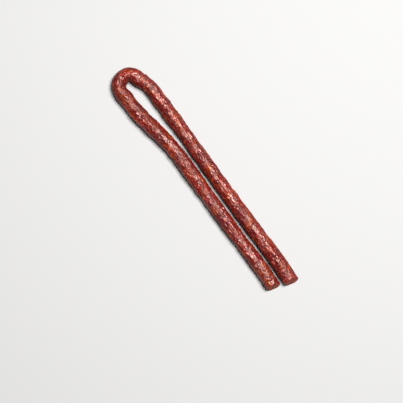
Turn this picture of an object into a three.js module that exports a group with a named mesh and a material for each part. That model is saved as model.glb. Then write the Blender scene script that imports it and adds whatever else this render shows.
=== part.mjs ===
// A thin smoked and dried sausage, folded once into a hairpin and laid on a flat surface.
//
// Millimetres, Z up. The fold is at -X and the two cut ends are at +X. The far leg runs along the +Y
// side and the near leg along the -Y side. The sausage rests on Z = 0, and the origin is under the
// middle of its outline.

import * as THREE from "three";

const { clamp, smoothstep, degToRad } = THREE.MathUtils;

// The strand
const caliber = 14.8; // thickness of the strand
const farLegLength = 246; // from the fold's centre to the far leg's tip
const nearLegLength = 240; // from the fold's centre to the near leg's tip

// How the two legs lie: the gaps are the clear space between them
const foldGap = 6.6; // at the fold
const eyeGap = 10.6; // where the eye beside the fold is widest
const legGap = 2.3; // along the rest of the legs
const eyeWidest = 12; // from the fold's centre to the widest part of the eye
const eyeLength = 86; // from the fold's centre to where the legs have closed up
const shoulder = 4.2; // how far the far leg steps out, from the fold to the widest part of the eye
const sway = 0.4; // how far the legs wander to each side
const swayLength = 200; // length of one sway
const tipTurn = 1.2; // how far the tips turn towards -Y
const tipTurnLength = 30; // length of the strand that turns

// The skin: a dried strand is thick and thin by turns, with low lumps all over
const swell = 0.45; // how much the radius grows and shrinks
const swellLength = 300; // length of one long swell; a shorter one rides on it
const lump = 0.14; // height of the lumps
const lumpLength = 19; // length of one lump
const settle = 0.34; // how much of the underside has sunk flat

// The cut ends
const cutLean = degToRad(20); // each cut leans back, so that the underside is longer than the top
const cutSkew = degToRad(9); // and is longer on the +Y side
const cutReach = 24; // length of strand over which its fibres follow the slant of the cut
const rimRadius = 0.8; // rounding of the skin's edge around the cut

// Fineness of the mesh
const sides = 20;
const stepLength = 3.8;
const rimSteps = 2;

const radius = caliber / 2;

/** Clear space between the legs, at a distance from the fold's centre. */
function gapAt(x) {
  const opening = (eyeGap - foldGap) * smoothstep(x, 0, eyeWidest);
  const closing = (eyeGap - legGap) * smoothstep(x, eyeWidest, eyeLength);
  return foldGap + opening - closing;
}

/** Y of the far leg's centreline: it steps out beside the fold, then runs nearly straight. */
function farLine(x) {
  const step = shoulder * smoothstep(x, 0, eyeWidest);
  const wander = sway * Math.sin((2 * Math.PI * x) / swayLength);
  const turn = tipTurn * smoothstep(x, farLegLength - tipTurnLength, farLegLength);
  return step + wander - turn;
}

/** Y of the near leg's centreline: it closes up with the far leg beyond the eye. */
function nearLine(x) {
  return farLine(x) - caliber - gapAt(x);
}

/** The whole centreline, seen from above: along the far leg, round the fold and back along the near leg. */
function makeCentreline() {
  const spacing = 8;
  const foldSteps = 6;
  const points = [];
  const farSteps = Math.round(farLegLength / spacing);
  for (let i = farSteps; i > 0; i--) {
    const x = (farLegLength * i) / farSteps;
    points.push(new THREE.Vector3(x, farLine(x), 0));
  }
  const foldRadius = (caliber + foldGap) / 2;
  const foldMiddle = (farLine(0) + nearLine(0)) / 2;
  for (let i = 0; i <= foldSteps; i++) {
    const turn = (Math.PI * i) / foldSteps;
    const x = -foldRadius * Math.sin(turn);
    const y = foldMiddle + foldRadius * Math.cos(turn);
    points.push(new THREE.Vector3(x, y, 0));
  }
  const nearSteps = Math.round(nearLegLength / spacing);
  for (let i = 1; i <= nearSteps; i++) {
    const x = (nearLegLength * i) / nearSteps;
    points.push(new THREE.Vector3(x, nearLine(x), 0));
  }
  const curve = new THREE.CatmullRomCurve3(points, false, "centripetal");
  curve.arcLengthDivisions = points.length * 12;
  return curve;
}

/** Radius of the strand at a distance along it, before the lumps. */
function radiusAt(along) {
  const turn = (2 * Math.PI * along) / swellLength;
  const long = Math.sin(turn + 1.1);
  const short = Math.sin(5 * turn - 0.8);
  return radius + swell * (0.7 * long + 0.3 * short);
}

/** Height of the lumpy skin over the plain round strand. */
function lumpAt(along, angle) {
  const turn = (2 * Math.PI * along) / lumpLength;
  const broad = Math.sin(turn + 2 * angle);
  const fine = Math.sin(1.7 * turn - 3 * angle + 1.3);
  return lump * (0.6 * broad + 0.4 * fine);
}

/** Profile of the straight strand, as distance from the axis and distance along it. */
function makeProfile(length) {
  const profile = [new THREE.Vector2(0, 0)];
  const rim = [];
  for (let i = 0; i <= rimSteps; i++) {
    const turn = (Math.PI / 2) * (i / rimSteps);
    const inset = rimRadius * (1 - Math.sin(turn));
    rim.push({ along: rimRadius * (1 - Math.cos(turn)), inset });
  }
  for (const { along, inset } of rim) {
    profile.push(new THREE.Vector2(radius - inset, along));
  }
  const body = length - 2 * rimRadius;
  const steps = Math.round(body / stepLength);
  for (let i = 1; i < steps; i++) {
    profile.push(new THREE.Vector2(radius, rimRadius + (body * i) / steps));
  }
  for (const { along, inset } of rim.reverse()) {
    profile.push(new THREE.Vector2(radius - inset, length - along));
  }
  profile.push(new THREE.Vector2(0, length));
  return profile;
}

/** Bends the straight strand, which stands along the geometry's Y axis, onto the centreline. */
function bendStrand(geometry, centreline, length) {
  const position = geometry.attributes.position;
  const up = new THREE.Vector3(0, 0, 1);
  for (let i = 0; i < position.count; i++) {
    const along = position.getY(i);
    const angle = Math.atan2(position.getZ(i), position.getX(i));
    const plainRadius = Math.hypot(position.getX(i), position.getZ(i));
    const grown = (plainRadius / radius) * (radiusAt(along) + lumpAt(along, angle));
    const side = grown * Math.cos(angle);
    const rise = grown * Math.sin(angle);

    const share = clamp(along / length, 0, 1);
    const place = centreline.getPointAt(share);
    const forward = centreline.getTangentAt(share);
    const sideways = new THREE.Vector3().crossVectors(forward, up);

    // The cut planes lean and skew; the slant fades out along the strand.
    const atStart = 1 - smoothstep(along, 0, cutReach);
    const atEnd = 1 - smoothstep(length - along, 0, cutReach);
    const lean = rise * Math.tan(cutLean) * (atStart - atEnd);
    const skew = side * Math.tan(cutSkew) * (atStart + atEnd);

    place.addScaledVector(sideways, side);
    place.addScaledVector(forward, lean - skew);
    const height = radiusAt(along) - settle + rise;
    position.setXYZ(i, place.x, place.y, Math.max(0, height));
  }
}

/** The folded sausage: one closed skin with a cut face at each end. */
function makeSausage() {
  const centreline = makeCentreline();
  const length = centreline.getLength();
  const halfSide = Math.PI / sides; // puts a flat side, not a corner, underneath
  const geometry = new THREE.LatheGeometry(makeProfile(length), sides);
  geometry.rotateY(halfSide);
  bendStrand(geometry, centreline, length);
  geometry.computeBoundingBox();
  const middle = geometry.boundingBox.getCenter(new THREE.Vector3());
  geometry.translate(-middle.x, -middle.y, 0);
  geometry.computeVertexNormals();
  const skin = new THREE.MeshStandardMaterial({ color: 0x752a22, roughness: 0.42, metalness: 0 });
  const sausage = new THREE.Mesh(geometry, skin);
  sausage.name = "sausage";
  return sausage;
}

const part = new THREE.Group();
part.add(makeSausage());

export default part;
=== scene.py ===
"""The looks of a thin smoked sausage that is folded into a hairpin and lies on a pale floor.

The fine skin follows the CAD part's own sizes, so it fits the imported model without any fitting. All
lengths of the strand are in millimetres; MM turns them into Blender's metres.
"""

import math

import bpy
import numpy as np
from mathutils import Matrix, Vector, noise


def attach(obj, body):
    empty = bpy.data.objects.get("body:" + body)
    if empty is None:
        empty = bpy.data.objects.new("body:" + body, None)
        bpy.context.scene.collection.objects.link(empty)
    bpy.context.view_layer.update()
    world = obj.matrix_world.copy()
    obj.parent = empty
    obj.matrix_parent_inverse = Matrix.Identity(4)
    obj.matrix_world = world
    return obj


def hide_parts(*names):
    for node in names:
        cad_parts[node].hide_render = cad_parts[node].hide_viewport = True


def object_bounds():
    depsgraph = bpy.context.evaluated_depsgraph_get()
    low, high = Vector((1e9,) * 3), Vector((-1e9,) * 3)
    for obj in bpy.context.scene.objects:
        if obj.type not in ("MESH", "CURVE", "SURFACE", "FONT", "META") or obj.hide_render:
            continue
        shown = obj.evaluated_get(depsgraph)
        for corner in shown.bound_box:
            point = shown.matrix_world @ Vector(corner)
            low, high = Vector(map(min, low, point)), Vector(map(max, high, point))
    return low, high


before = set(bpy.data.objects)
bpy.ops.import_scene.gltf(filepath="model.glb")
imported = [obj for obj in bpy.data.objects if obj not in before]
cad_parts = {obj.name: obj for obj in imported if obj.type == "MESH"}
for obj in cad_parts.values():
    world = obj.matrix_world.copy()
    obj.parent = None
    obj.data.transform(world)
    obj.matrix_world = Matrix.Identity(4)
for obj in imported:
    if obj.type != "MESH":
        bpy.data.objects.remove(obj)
cad_low, cad_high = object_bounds()

MM = 0.001

# The strand, how its legs lie and how its ends are cut: the same sizes as the CAD part
CALIBER = 14.8
RADIUS = CALIBER / 2
FAR_LEG = 246.0
NEAR_LEG = 240.0
FOLD_GAP = 6.6
EYE_GAP = 10.6
LEG_GAP = 2.3
EYE_WIDEST = 12.0
EYE_LENGTH = 86.0
SHOULDER = 4.2
SWAY = 0.4
SWAY_LENGTH = 200.0
TIP_TURN = 1.2
TIP_TURN_LENGTH = 30.0
SWELL = 0.45
SWELL_LENGTH = 300.0
LUMP = 0.14
LUMP_LENGTH = 19.0
SETTLE = 0.34
CUT_LEAN = math.radians(20)
CUT_SKEW = math.radians(9)
CUT_REACH = 24.0
RIM_RADIUS = 0.8

# Fineness of the skin
AROUND = 96  # points around the strand
STEP = 0.56  # from one row of points to the next
FACE_RINGS = 13  # steps from the middle of a cut to its rim
RIM_RINGS = 4  # steps around a cut's rounded rim

# The view: straight down, with the legs running from the upper left to the lower right
VIEW_TURN = math.radians(53.76)
VIEW_CENTRE = Vector((16.0, -12.7, RADIUS)) * MM
VIEW_WIDTH = 391 * MM  # what the picture takes in, at the height of the strand's middle
VIEW_DISTANCE = 1.3


# ---------------------------------------------------------------------------------------------
# The strand's route


def smoothstep(x, low, high):
    """0 below low, 1 above high, and smooth between them."""
    t = np.clip((x - low) / (high - low), 0, 1)
    return t * t * (3 - 2 * t)


def gap_at(x):
    """Clear space between the legs, at a distance from the fold's centre."""
    opening = (EYE_GAP - FOLD_GAP) * smoothstep(x, 0, EYE_WIDEST)
    closing = (EYE_GAP - LEG_GAP) * smoothstep(x, EYE_WIDEST, EYE_LENGTH)
    return FOLD_GAP + opening - closing


def far_line(x):
    """Y of the far leg's middle line."""
    step = SHOULDER * smoothstep(x, 0, EYE_WIDEST)
    wander = SWAY * np.sin(2 * np.pi * x / SWAY_LENGTH)
    turn = TIP_TURN * smoothstep(x, FAR_LEG - TIP_TURN_LENGTH, FAR_LEG)
    return step + wander - turn


def near_line(x):
    """Y of the near leg's middle line."""
    return far_line(x) - CALIBER - gap_at(x)


def guide_points():
    """Points that the middle line passes through: far leg, half circle of the fold, near leg."""
    spacing, fold_steps = 8, 6
    far_x = np.linspace(FAR_LEG, 0, round(FAR_LEG / spacing) + 1)[:-1]
    near_x = np.linspace(0, NEAR_LEG, round(NEAR_LEG / spacing) + 1)[1:]
    turn = np.linspace(0, np.pi, fold_steps + 1)
    fold_radius = (CALIBER + FOLD_GAP) / 2
    fold_y = (far_line(0) + near_line(0)) / 2 + fold_radius * np.cos(turn)
    x = np.concatenate([far_x, -fold_radius * np.sin(turn), near_x])
    y = np.concatenate([far_line(far_x), fold_y, near_line(near_x)])
    return np.stack([x, y], axis=1)


def smooth_curve(guides, pieces):
    """A centripetal Catmull-Rom curve through the guide points, in that many pieces for each span."""
    before, after = 2 * guides[0] - guides[1], 2 * guides[-1] - guides[-2]
    points = np.concatenate([[before], guides, [after]])
    curve = []
    for a, b, c, d in zip(points, points[1:], points[2:], points[3:]):
        ab, bc, cd = (math.sqrt(np.linalg.norm(q - p)) for p, q in ((a, b), (b, c), (c, d)))
        start = ((b - a) / ab - (c - a) / (ab + bc) + (c - b) / bc) * bc
        end = ((c - b) / bc - (d - b) / (bc + cd) + (d - c) / cd) * bc
        t = np.linspace(0, 1, pieces, endpoint=False)[:, None]
        cubic = 2 * b - 2 * c + start + end
        square = -3 * b + 3 * c - 2 * start - end
        curve.append(b + start * t + square * t**2 + cubic * t**3)
    return np.concatenate(curve + [[guides[-1]]])


def softened(values, reach):
    """A running mean over 2 * reach + 1 values; the ends are held."""
    padded = np.pad(values, reach, mode="edge")
    kernel = np.ones(2 * reach + 1) / (2 * reach + 1)
    return np.convolve(padded, kernel, mode="valid")


class Route:
    """The strand's middle line seen from above, with its heading and bend, every half millimetre."""

    def __init__(self):
        x, y = smooth_curve(guide_points(), pieces=40).T
        along = np.concatenate([[0], np.cumsum(np.hypot(np.diff(x), np.diff(y)))])
        self.length = along[-1]
        self.along = np.linspace(0, self.length, round(2 * self.length) + 1)
        self.x = np.interp(self.along, along, x)
        self.y = np.interp(self.along, along, y)
        heading = np.unwrap(np.arctan2(np.gradient(self.y), np.gradient(self.x)))
        self.heading = softened(heading, reach=4)
        self.curvature = softened(np.gradient(self.heading, self.along), reach=6)

    def at(self, along, values):
        """Any of the route's values at distances along it."""
        return np.interp(along, self.along, values)


def radius_at(along):
    """Radius of the strand before its lumps."""
    turn = 2 * np.pi * along / SWELL_LENGTH
    long = np.sin(turn + 1.1)
    short = np.sin(5 * turn - 0.8)
    return RADIUS + SWELL * (0.7 * long + 0.3 * short)


def lump_at(along, angle):
    """Height of the low lumps over the plain round strand."""
    turn = 2 * np.pi * along / LUMP_LENGTH
    broad = np.sin(turn + 2 * angle)
    fine = np.sin(1.7 * turn - 3 * angle + 1.3)
    return LUMP * (0.6 * broad + 0.4 * fine)


# ---------------------------------------------------------------------------------------------
# The skin's relief


def noise_at(points, size, shift):
    """Smooth noise, about -0.7 to 0.7, at points on the straight strand.

    size is its grain along, across and up; another shift gives another noise.
    """
    grid = points / np.array(size) + shift
    flat = [noise.noise(Vector(p)) for p in grid.reshape(-1, 3)]
    return np.array(flat).reshape(points.shape[:-1])


def creases(values, width):
    """1 where the values pass through zero, fading to 0 within about twice that width of it."""
    return np.exp(-((values / width) ** 2))


def pebbles(points, size, shift):
    """Rounded cells of about that size: 0 on the lines between them, 1 on their tops."""
    unevenness, line_width = 0.35, 0.55
    warp = unevenness * noise_at(points, size, shift + 5)[..., None]
    grid = points / np.array(size) + shift + warp
    near = [noise.voronoi(Vector(p))[0] for p in grid.reshape(-1, 3)]
    gap = np.array([second - first for first, second, *_ in near])
    return smoothstep(gap.reshape(points.shape[:-1]), 0, line_width)


def skin_relief(strand, inner, outer):
    """Height of the dried skin over the lumpy strand, and how deep in a crease each point is, 0 to 1.

    inner and outer are 1 where the fold crowds or stretches the skin. Coarse stretches of the skin are
    pebbled, and the rest has long wrinkles.
    """
    meat_height, grain_height = 0.5, 0.4
    crease_depth, pleat_depth = 0.34, 0.3
    wrinkle_width, pleat_width = 0.13, 0.2
    smoothing = 0.35  # how much of its relief the stretched skin loses
    meat = noise_at(strand, (8, 4.2, 4.2), 3.1)
    grain = noise_at(strand, (2.3, 1.9, 1.9), 17.7)
    coarse = smoothstep(noise_at(strand, (21, 8, 8), 41.3), -0.4, 0.3)
    pebble = pebbles(strand, (3.6, 2.8, 2.8), 60.1)
    stretched = 1 - smoothing * outer

    wrinkles = creases(noise_at(strand, (10, 2.6, 2.6), 29.9), wrinkle_width) * (1 - 0.6 * coarse)
    pleats = creases(noise_at(strand, (2.7, 14, 14), 71.9), pleat_width) * inner
    valley = (1 - pebble) * (0.35 + 0.65 * coarse)

    crease = np.clip((0.8 * wrinkles + valley) * stretched + pleats, 0, 1)
    height = meat_height * meat + grain_height * grain * stretched
    height -= crease_depth * crease + pleat_depth * pleats
    return height, crease


def face_relief(strand, share):
    """How far the cut meat stands out from the plane of the cut, at its share of the radius.

    The meat has dried and sunk in the middle, inside a low lip near the rim.
    """
    ground_height, fine_height, lip_height, hollow_depth = 0.3, 0.14, 0.22, 0.35
    lip_share, lip_width = 0.9, 0.05
    ground = noise_at(strand, (2.2, 2.2, 2.2), 7.3)
    fine = noise_at(strand, (0.9, 0.9, 0.9), 13.9)
    lip = creases(share - lip_share, lip_width)
    hollow = hollow_depth * (1 - share**2)
    return ground_height * ground + fine_height * fine + lip_height * lip - hollow


# ---------------------------------------------------------------------------------------------
# The mesh


def make_rows(length):
    """The rows of points from tip to tip, each a ring around the strand.

    They are given as distance along, share of the radius, and 1 on the skin or 0 on a cut.
    """
    face = np.linspace(0, 1 - RIM_RADIUS / RADIUS, FACE_RINGS + 1)[1:-1]
    turn = np.linspace(0, np.pi / 2, RIM_RINGS + 1)
    rim_share = 1 - RIM_RADIUS / RADIUS * (1 - np.sin(turn))
    rim_along = RIM_RADIUS * (1 - np.cos(turn))
    end_along = np.concatenate([np.zeros_like(face), rim_along])
    end_share = np.concatenate([face, rim_share])
    end_skin = np.concatenate([np.zeros_like(face), np.where(turn > 0, 1, 0)])
    steps = round((length - 2 * RIM_RADIUS) / STEP)
    body_along = np.linspace(RIM_RADIUS, length - RIM_RADIUS, steps + 1)[1:-1]
    full = np.ones_like(body_along)
    along = np.concatenate([end_along, body_along, length - end_along[::-1]])
    share = np.concatenate([end_share, full, end_share[::-1]])
    skin = np.concatenate([end_skin, full, end_skin[::-1]])
    return along, share, skin


def bend_shares(route, along, cos):
    """How bent the strand is, and how much that crowds its inner side and stretches its outer, 0 to 1."""
    full_bend = 0.7  # radius times curvature at which the bend counts in full
    bend = np.clip(route.at(along, route.curvature) * RADIUS / full_bend, 0, 1)
    inner = bend * smoothstep(-cos, -0.1, 0.9)
    outer = bend * smoothstep(cos, 0.0, 0.9)
    return bend, inner, outer


def slant(length, along, side, rise):
    """How far the slanted cuts push each point along the strand, which fades out away from the tips."""
    near_start = 1 - smoothstep(along, 0, CUT_REACH)
    near_end = 1 - smoothstep(length - along, 0, CUT_REACH)
    lean = rise * math.tan(CUT_LEAN) * (near_start - near_end)
    skew = side * math.tan(CUT_SKEW) * (near_start + near_end)
    return lean - skew


def put_in_place(route, along, side, rise, forward):
    """Points of the straight strand, moved onto the folded middle line and settled on the floor."""
    heading = route.at(along, route.heading)
    x = route.at(along, route.x) + side * np.sin(heading) + forward * np.cos(heading)
    y = route.at(along, route.y) - side * np.cos(heading) + forward * np.sin(heading)
    z = np.maximum(0, radius_at(along) - SETTLE + rise)
    return np.stack([x, y, z], axis=-1)


def make_points(route, along, share, skin):
    """Every row's points in place, with what the materials need to know at each of them.

    That is its place on the straight strand, how deep in a crease it is and how far into the fold.
    """
    pinch = 0.05  # how much of its width the strand loses in the fold
    outer_fold = 0.8  # the fold's outer side counts for less than its inner side
    along, share, skin = along[:, None], share[:, None], skin[:, None]
    angle = np.linspace(0, 2 * np.pi, AROUND, endpoint=False)
    cos, sin = np.cos(angle), np.sin(angle)
    straight = np.broadcast_arrays(along, RADIUS * share * cos, RADIUS * share * sin)
    strand = np.stack(straight, axis=-1)

    bend, inner, outer = bend_shares(route, along, cos)
    fold = np.clip(inner + outer_fold * outer, 0, 1)
    relief, crease = skin_relief(strand, inner, outer)
    plain = radius_at(along) + lump_at(along, angle)
    reach = share * plain + relief * share**6  # the skin's relief fades out across a cut
    reach *= 1 - pinch * bend * np.abs(cos)
    side, rise = reach * cos, reach * sin

    outwards = np.where(along < route.length / 2, -1.0, 1.0)
    forward = slant(route.length, along, side, rise)
    forward += outwards * face_relief(strand, share) * (1 - skin)
    points = put_in_place(route, along, side, rise, forward)
    return points, strand, crease * skin, fold * skin


def make_faces(rows):
    """Quads between the rows and a fan of triangles at each tip; the tips' middle points come last."""
    first = np.arange(AROUND)
    second = (first + 1) % AROUND
    faces = []
    for row in range(rows - 1):
        low, high = row * AROUND, (row + 1) * AROUND
        faces += [(low + a, high + a, high + b, low + b) for a, b in zip(first, second)]
    start_middle, end_middle = rows * AROUND, rows * AROUND + 1
    last = (rows - 1) * AROUND
    faces += [(start_middle, a, b) for a, b in zip(first, second)]
    faces += [(last + a, end_middle, last + b) for a, b in zip(first, second)]
    return [tuple(int(i) for i in face) for face in faces]


def add_attribute(mesh, name, kind, values):
    """Stores a number or a vector for each point of the mesh, for the materials to read."""
    attribute = mesh.attributes.new(name, kind, "POINT")
    key = "vector" if kind == "FLOAT_VECTOR" else "value"
    attribute.data.foreach_set(key, np.asarray(values, np.float32).ravel())


def make_sausage(casing, meat):
    """The whole folded sausage as one closed mesh, with its skin and its two cut faces."""
    route = Route()
    along, share, skin = make_rows(route.length)
    points, strand, crease, fold = make_points(route, along, share, skin)
    middles = [points[0].mean(axis=0), points[-1].mean(axis=0)]
    strand_middles = [strand[0].mean(axis=0), strand[-1].mean(axis=0)]
    flat = np.concatenate([points.reshape(-1, 3), middles])

    # Centred where the CAD part's outline is, and resting where it rests
    cad_middle = (cad_low + cad_high) / 2
    shape_middle = (flat.min(axis=0) + flat.max(axis=0)) / 2
    place = flat * MM
    place[:, 0] += cad_middle.x - shape_middle[0] * MM
    place[:, 1] += cad_middle.y - shape_middle[1] * MM
    place[:, 2] += cad_low.z

    mesh = bpy.data.meshes.new("sausage_skin")
    faces = make_faces(len(along))
    mesh.from_pydata(place.tolist(), [], faces)
    flat_strand = np.concatenate([strand.reshape(-1, 3), strand_middles])
    add_attribute(mesh, "strand", "FLOAT_VECTOR", flat_strand)
    add_attribute(mesh, "crease", "FLOAT", np.concatenate([crease.ravel(), [0, 0]]))
    add_attribute(mesh, "fold", "FLOAT", np.concatenate([fold.ravel(), [0, 0]]))
    mesh.materials.append(casing)
    mesh.materials.append(meat)
    row_is_cut = (skin[:-1] + skin[1:]) / 2 < 1
    cut = np.concatenate([np.repeat(row_is_cut, AROUND), np.ones(2 * AROUND, bool)])
    mesh.polygons.foreach_set("material_index", cut.astype(np.int32))
    mesh.polygons.foreach_set("use_smooth", np.ones(len(faces), bool))
    mesh.update()
    piece = bpy.data.objects.new("sausage_skin", mesh)
    bpy.context.scene.collection.objects.link(piece)
    return piece


# ---------------------------------------------------------------------------------------------
# Materials


def colour(red, green, blue):
    """A screen colour, 0 to 255, as the linear colour that a shader takes."""
    parts = [c / 255 for c in (red, green, blue)]
    return (*[p / 12.92 if p <= 0.04045 else ((p + 0.055) / 1.055) ** 2.4 for p in parts], 1)


class Shader:
    """A material's node tree, with one short call for each node."""

    def __init__(self, name):
        self.material = bpy.data.materials.new(name)
        self.material.use_nodes = True
        self.tree = self.material.node_tree
        self.surface = self.tree.nodes["Principled BSDF"]

    def add(self, kind, inputs, **settings):
        """A node with its settings and inputs; an input is a value, or another node's output to link."""
        node = self.tree.nodes.new(kind)
        for key, value in settings.items():
            setattr(node, key, value)
        self.feed(node, inputs)
        return node

    def feed(self, node, inputs):
        """Sets or links a node's inputs, by name or number."""
        for key, value in inputs.items():
            if isinstance(value, bpy.types.NodeSocket):
                self.tree.links.new(value, node.inputs[key])
            else:
                node.inputs[key].default_value = value

    def stored(self, name):
        """A number that the mesh stores at each point."""
        return self.add("ShaderNodeAttribute", {}, attribute_name=name).outputs["Fac"]

    def place(self, size, shift):
        """Where a point is on the straight strand, in grains of that size along, across and up."""
        strand = self.add("ShaderNodeAttribute", {}, attribute_name="strand").outputs["Vector"]
        scale = [1 / s for s in size]
        inputs = {"Vector": strand, "Scale": scale, "Location": (shift, shift, shift)}
        return self.add("ShaderNodeMapping", inputs).outputs["Vector"]

    def noise(self, size, shift, detail=2.0, roughness=0.5):
        """Noise with grains of that size in millimetres, 0 to 1."""
        inputs = {"Vector": self.place(size, shift), "Scale": 1.0}
        inputs.update({"Detail": detail, "Roughness": roughness})
        return self.add("ShaderNodeTexNoise", inputs).outputs["Fac"]

    def cells(self, size, shift):
        """Cells of about that size in millimetres: 0 in the middle of each, and more further out."""
        inputs = {"Vector": self.place(size, shift), "Scale": 1.0}
        return self.add("ShaderNodeTexVoronoi", inputs).outputs["Distance"]

    def fade(self, value, low, high, start=0.0, end=1.0):
        """start where the value is below low, end above high, and smooth between them."""
        inputs = {"Value": value, "From Min": low, "From Max": high}
        inputs.update({"To Min": start, "To Max": end})
        return self.add("ShaderNodeMapRange", inputs, interpolation_type="SMOOTHSTEP").outputs["Result"]

    def facing(self):
        """0 where the surface faces the eye, towards 1 where it turns away."""
        return self.add("ShaderNodeLayerWeight", {"Blend": 0.5}).outputs["Facing"]

    def math(self, operation, a, b):
        """a and b joined by an arithmetic operation."""
        return self.add("ShaderNodeMath", {0: a, 1: b}, operation=operation).outputs["Value"]

    def mix(self, share, a, b):
        """Colour a with a share of colour b."""
        node = self.add("ShaderNodeMix", {}, data_type="RGBA")
        number = {socket.name: i for i, socket in enumerate(node.inputs) if socket.enabled}
        self.feed(node, {number["Factor"]: share, number["A"]: a, number["B"]: b})
        return next(socket for socket in node.outputs if socket.enabled)

    def patches(self, base, tint, size, shift, span, most, detail=3.0, roughness=0.6):
        """Lays tint over base in patches of that size, up to that share of it.

        span is where between 0 and 1 the noise begins a patch and where it fills it.
        """
        share = self.fade(self.noise(size, shift, detail, roughness), *span, 0.0, most)
        return self.mix(share, base, tint)

    def bump(self, height, depth, under=None):
        """Relief of that depth in millimetres, over another bump's normal."""
        inputs = {"Height": height, "Strength": 1.0, "Distance": depth * MM}
        if under is not None:
            inputs["Normal"] = under
        return self.add("ShaderNodeBump", inputs).outputs["Normal"]


def casing_material():
    """Smoked, dried skin: dark red-brown, mottled by meat and fat beneath, with a broken greasy shine,
    and painted shade in its creases and around its fold.
    """
    smoked, red = colour(104, 4, 8), colour(158, 30, 12)
    wine, rust = colour(120, 3, 44), colour(184, 78, 10)
    lean, fat, soot = colour(80, 2, 4), colour(214, 95, 68), colour(76, 4, 3)
    # Painted shade: two dark colours laid into the skin's creases and around its fold
    painted_crease_shade, folded = colour(60, 2, 1), colour(74, 4, 2)
    s = Shader("casing")
    crease, fold = s.stored("crease"), s.stored("fold")

    base = s.patches(smoked, red, (30, 9, 9), 2.0, (0.36, 0.64), 1.0)
    base = s.patches(base, wine, (12, 5, 5), 25.0, (0.5, 0.62), 0.85)
    base = s.patches(base, rust, (13, 6, 6), 5.0, (0.5, 0.64), 0.85)
    base = s.patches(base, lean, (4.5, 3.2, 3.2), 9.0, (0.46, 0.62), 0.85)
    base = s.patches(base, fat, (2.2, 1.6, 1.6), 14.0, (0.53, 0.63), 0.8, roughness=0.65)
    base = s.patches(base, soot, (0.9, 0.6, 0.6), 21.0, (0.38, 0.62), 0.55, detail=2.0)
    # Painted shade: the skin is darkened in its creases, the deeper the darker
    base = s.mix(s.math("MULTIPLY", crease, 0.7), base, painted_crease_shade)
    # Painted shade: the skin is darkened where the strand bends, most on the fold's crowded inner side
    base = s.mix(s.math("MULTIPLY", fold, 0.5), base, folded)

    greasy, dry = 0.17, 0.36
    dull_patch, dull_crease, dull_fold, dull_edge = 0.16, 0.15, 0.14, 0.2
    rough = s.fade(s.noise((5, 3, 3), 33.0, 3.0, 0.6), 0.35, 0.65, greasy, dry)
    dull = s.fade(s.noise((24, 9, 9), 37.0), 0.45, 0.62, 0.0, dull_patch)
    rough = s.math("ADD", rough, dull)
    rough = s.math("ADD", rough, s.math("MULTIPLY", crease, dull_crease))
    rough = s.math("ADD", rough, s.math("MULTIPLY", fold, dull_fold))
    rough = s.math("ADD", rough, s.fade(s.facing(), 0.3, 0.6, 0.0, dull_edge))

    wrinkle_depth, pore_depth = 0.11, 0.02
    normal = s.bump(s.noise((2.4, 0.8, 0.8), 44.0, 2.0, 0.55), wrinkle_depth)
    normal = s.bump(s.noise((0.45, 0.4, 0.4), 55.0), pore_depth, normal)

    s.feed(s.surface, {"Base Color": base, "Roughness": rough, "Normal": normal})
    s.feed(s.surface, {"Specular IOR Level": 0.8, "Specular Tint": (1.0, 0.68, 0.6, 1.0)})
    return s.material


def meat_material():
    """The cut: coarse ground meat, red-brown, with paler specks of fat and darker grain."""
    lean, pale = colour(116, 26, 12), colour(176, 70, 32)
    fat, dark = colour(222, 150, 104), colour(58, 14, 10)
    s = Shader("cut_meat")
    base = s.patches(lean, pale, (2.4, 2.4, 2.4), 3.0, (0.35, 0.65), 1.0)
    speck = s.fade(s.cells((1.7, 1.7, 1.7), 8.0), 0.12, 0.3, 0.8, 0.0)
    base = s.mix(speck, base, fat)
    grain = s.noise((0.6, 0.6, 0.6), 12.0, 2.0, 0.6)
    base = s.mix(s.fade(grain, 0.3, 0.7, 0.0, 0.35), base, dark)

    moist, dry, grain_depth = 0.5, 0.7, 0.25
    rough = s.fade(grain, 0.3, 0.7, moist, dry)
    normal = s.bump(s.noise((0.8, 0.8, 0.8), 23.0, 2.0, 0.6), grain_depth)
    s.feed(s.surface, {"Base Color": base, "Roughness": rough, "Normal": normal})
    s.feed(s.surface, {"Specular IOR Level": 0.15})
    return s.material


def floor_material():
    """Plain, pale and matte."""
    pale = (0.46, 0.457, 0.453, 1)
    s = Shader("floor")
    s.feed(s.surface, {"Base Color": pale, "Roughness": 0.7, "Specular IOR Level": 0.2})
    return s.material


# ---------------------------------------------------------------------------------------------
# Floor, lights and camera


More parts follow.
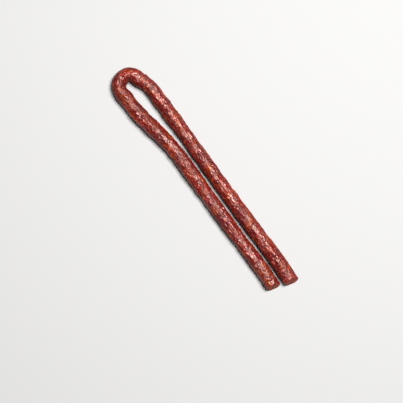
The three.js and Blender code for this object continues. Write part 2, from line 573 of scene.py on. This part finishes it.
def make_floor():
    """A plain floor at the height that the sausage rests on."""
    half = 1.2  # half its width
    corners = [(-half, -half), (half, -half), (half, half), (-half, half)]
    mesh = bpy.data.meshes.new("floor")
    mesh.from_pydata([(x, y, cad_low.z) for x, y in corners], [], [(0, 1, 2, 3)])
    mesh.materials.append(floor_material())
    floor = bpy.data.objects.new("floor", mesh)
    bpy.context.scene.collection.objects.link(floor)
    return floor


def view_point(right, up, height):
    """The point that far right and up in the view, at that height, in metres."""
    cos, sin = math.cos(VIEW_TURN), math.sin(VIEW_TURN)
    return Vector((right * cos - up * sin, right * sin + up * cos, height))


def add_light(name, place, size, power):
    """A square soft light that faces the object."""
    data = bpy.data.lights.new(name, "AREA")
    data.size = size
    data.energy = power
    light = bpy.data.objects.new(name, data)
    light.location = place
    light.rotation_euler = (-place).to_track_quat("-Z", "Y").to_euler()
    bpy.context.scene.collection.objects.link(light)


def make_world():
    """Faint white light all round, which the camera sees as a pale backdrop."""
    glow, backdrop = 0.06, 0.6
    world = bpy.data.worlds.new("studio")
    world.use_nodes = True
    tree = world.node_tree
    seen = tree.nodes.new("ShaderNodeLightPath").outputs["Is Camera Ray"]
    strength = tree.nodes.new("ShaderNodeMapRange")
    strength.inputs["To Min"].default_value = glow
    strength.inputs["To Max"].default_value = backdrop
    background = tree.nodes["Background"]
    background.inputs["Color"].default_value = (1, 1, 1, 1)
    tree.links.new(seen, strength.inputs["Value"])
    tree.links.new(strength.outputs["Result"], background.inputs["Strength"])
    bpy.context.scene.world = world


def make_lights():
    """One soft light from above, a little to the upper right of the view."""
    add_light("key", view_point(right=0.36, up=0.38, height=1.8), size=0.7, power=70.0)


def make_camera():
    """The camera looks straight down."""
    data = bpy.data.cameras.new("camera")
    data.angle = 2 * math.atan(VIEW_WIDTH / 2 / VIEW_DISTANCE)
    data.clip_start = 0.05
    data.clip_end = 10
    camera = bpy.data.objects.new("camera", data)
    camera.location = VIEW_CENTRE + Vector((0, 0, VIEW_DISTANCE))
    camera.rotation_euler = (0, 0, VIEW_TURN)
    bpy.context.scene.collection.objects.link(camera)
    bpy.context.scene.camera = camera


bpy.context.scene.view_settings.view_transform = "Standard"
make_camera()
make_lights()
make_world()
make_floor()

sausage = make_sausage(casing_material(), meat_material())
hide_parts("sausage")
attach(sausage, "root")
